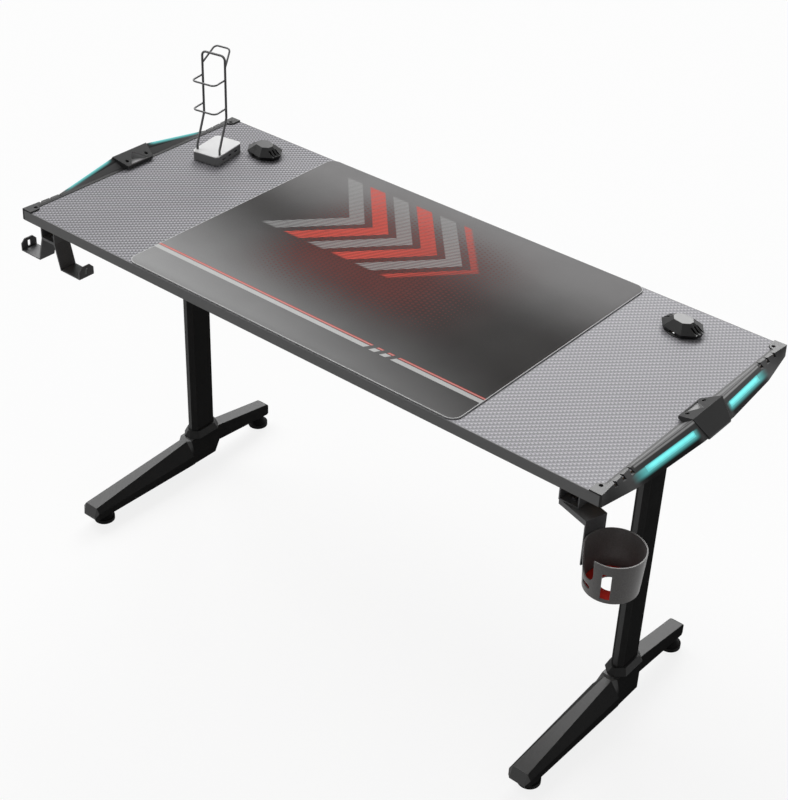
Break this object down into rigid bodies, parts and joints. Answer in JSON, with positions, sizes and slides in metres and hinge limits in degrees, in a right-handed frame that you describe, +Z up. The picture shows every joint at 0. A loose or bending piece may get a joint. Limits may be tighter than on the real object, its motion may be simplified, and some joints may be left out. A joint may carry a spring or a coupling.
{
  "type": "gaming desk",
  "caption": "Straight gaming desk on splayed steel feet, with lit angular end trims, full-depth mat, cable grommets, headset hook, swivel cup holder and controller stand.",
  "frame": {"origin": "on the floor under the middle of the desk top", "axes": "+X along the length of the top to the cup holder, +Y from the user's edge to the back, +Z up"},
  "size_m": [1.5306, 0.6547, 1.0055],
  "materials": {
    "board": "raw particle board",
    "laminate": "grey carbon weave print, satin",
    "edge_band": "grey, satin",
    "mat": "woven face with red and grey print, rubber back",
    "trim": "black, fine grain",
    "diffuser": "milky, lit cyan",
    "led_strip": "white strip with small lamps",
    "dark_screw": "black oxide",
    "grommet": "black, glossy",
    "frame_steel": "black powder coat",
    "plug": "plain steel, dark",
    "collar": "black, satin",
    "glide": "black, with a steel stud",
    "insert": "turned",
    "accessory_steel": "dark grey powder coat",
    "cup": "taupe grey, satin",
    "cup_pad": "red, soft",
    "control": "black",
    "jack": "plated",
    "stand_base": "black",
    "stand_plate": "light grey, satin",
    "stand_feet": "soft black",
    "stand_wire": "dark grey coat"
  },
  "bodies": {
    "desk": {"accessory_screws": "dark_screw", "beam_bolts": "dark_screw", "bracket_screws": "dark_screw", "column_head_bolts": "dark_screw", "column_left": "frame_steel", "column_plug_left": "plug", "column_plug_right": "plug", "column_right": "frame_steel", "cross_beam_front": "frame_steel", "cross_beam_rear": "frame_steel", "cup_bolt": "dark_screw", "cup_bracket": "accessory_steel", "desk_mat": "mat", "desktop_board": "board", "foot_bolts": "dark_screw", "foot_collar_left": "collar", "foot_collar_right": "collar", "foot_left": "frame_steel", "foot_right": "frame_steel", "front_edge_band": "edge_band", "glide_inserts": "insert", "grommet_sleeve_left": "grommet", "grommet_sleeve_right": "grommet", "head_plate_left": "frame_steel", "head_plate_right": "frame_steel", "hook_bolt": "dark_screw", "hook_bracket": "accessory_steel", "led_strip_left": "led_strip", "led_strip_right": "led_strip", "light_control_box": "control", "light_diffuser_front_left": "diffuser", "light_diffuser_front_right": "diffuser", "light_diffuser_rear_left": "diffuser", "light_diffuser_rear_right": "diffuser", "power_inlet": "jack", "rear_edge_band": "edge_band", "side_trim_left": "trim", "side_trim_right": "trim", "stand_base": "stand_base", "stand_feet": "stand_feet", "stand_plate": "stand_plate", "stand_ports": "jack", "stand_rack": "stand_wire", "top_bracket_left": "frame_steel", "top_bracket_right": "frame_steel", "top_laminate": "laminate", "trim_block_left": "trim", "trim_block_right": "trim", "trim_screws": "dark_screw"},
    "front_left_glide": {"glide_front_left": "glide"},
    "front_right_glide": {"glide_front_right": "glide"},
    "rear_left_glide": {"glide_rear_left": "glide"},
    "rear_right_glide": {"glide_rear_right": "glide"},
    "left_cap": {"grommet_cap_left": "grommet"},
    "right_cap": {"grommet_cap_right": "grommet"},
    "hook": {"headset_hook": "accessory_steel"},
    "cup_holder": {"cup_arm": "accessory_steel", "cup_ring": "cup", "cup_pad": "cup_pad"},
    "button": {"light_button": "control"}
  },
  "joints": [
    {"name": "front_left_level", "type": "slide", "parent": "desk", "child": "front_left_glide", "axis": [0, 0, -1], "range_m": [0, 0.01]},
    {"name": "front_right_level", "type": "slide", "parent": "desk", "child": "front_right_glide", "axis": [0, 0, -1], "range_m": [0, 0.01]},
    {"name": "rear_left_level", "type": "slide", "parent": "desk", "child": "rear_left_glide", "axis": [0, 0, -1], "range_m": [0, 0.01]},
    {"name": "rear_right_level", "type": "slide", "parent": "desk", "child": "rear_right_glide", "axis": [0, 0, -1], "range_m": [0, 0.01]},
    {"name": "left_cap_lift", "type": "slide", "parent": "desk", "child": "left_cap", "axis": [0, 0, 1], "range_m": [0, 0.03]},
    {"name": "right_cap_lift", "type": "slide", "parent": "desk", "child": "right_cap", "axis": [0, 0, 1], "range_m": [0, 0.03]},
    {"name": "hook_swivel", "type": "hinge", "parent": "desk", "child": "hook", "pos_m": [-0.641, -0.271, 0.7115], "axis": [0, 0, 1], "range_deg": [-90, 90]},
    {"name": "cup_swivel", "type": "hinge", "parent": "desk", "child": "cup_holder", "pos_m": [0.635, -0.271, 0.7115], "axis": [0, 0, 1], "range_deg": [-73, 107]},
    {"name": "button_press", "type": "slide", "parent": "desk", "child": "button", "axis": [0, 1, 0], "range_m": [0, 0.002], "stiffness_N_per_m": 800}
  ]
}
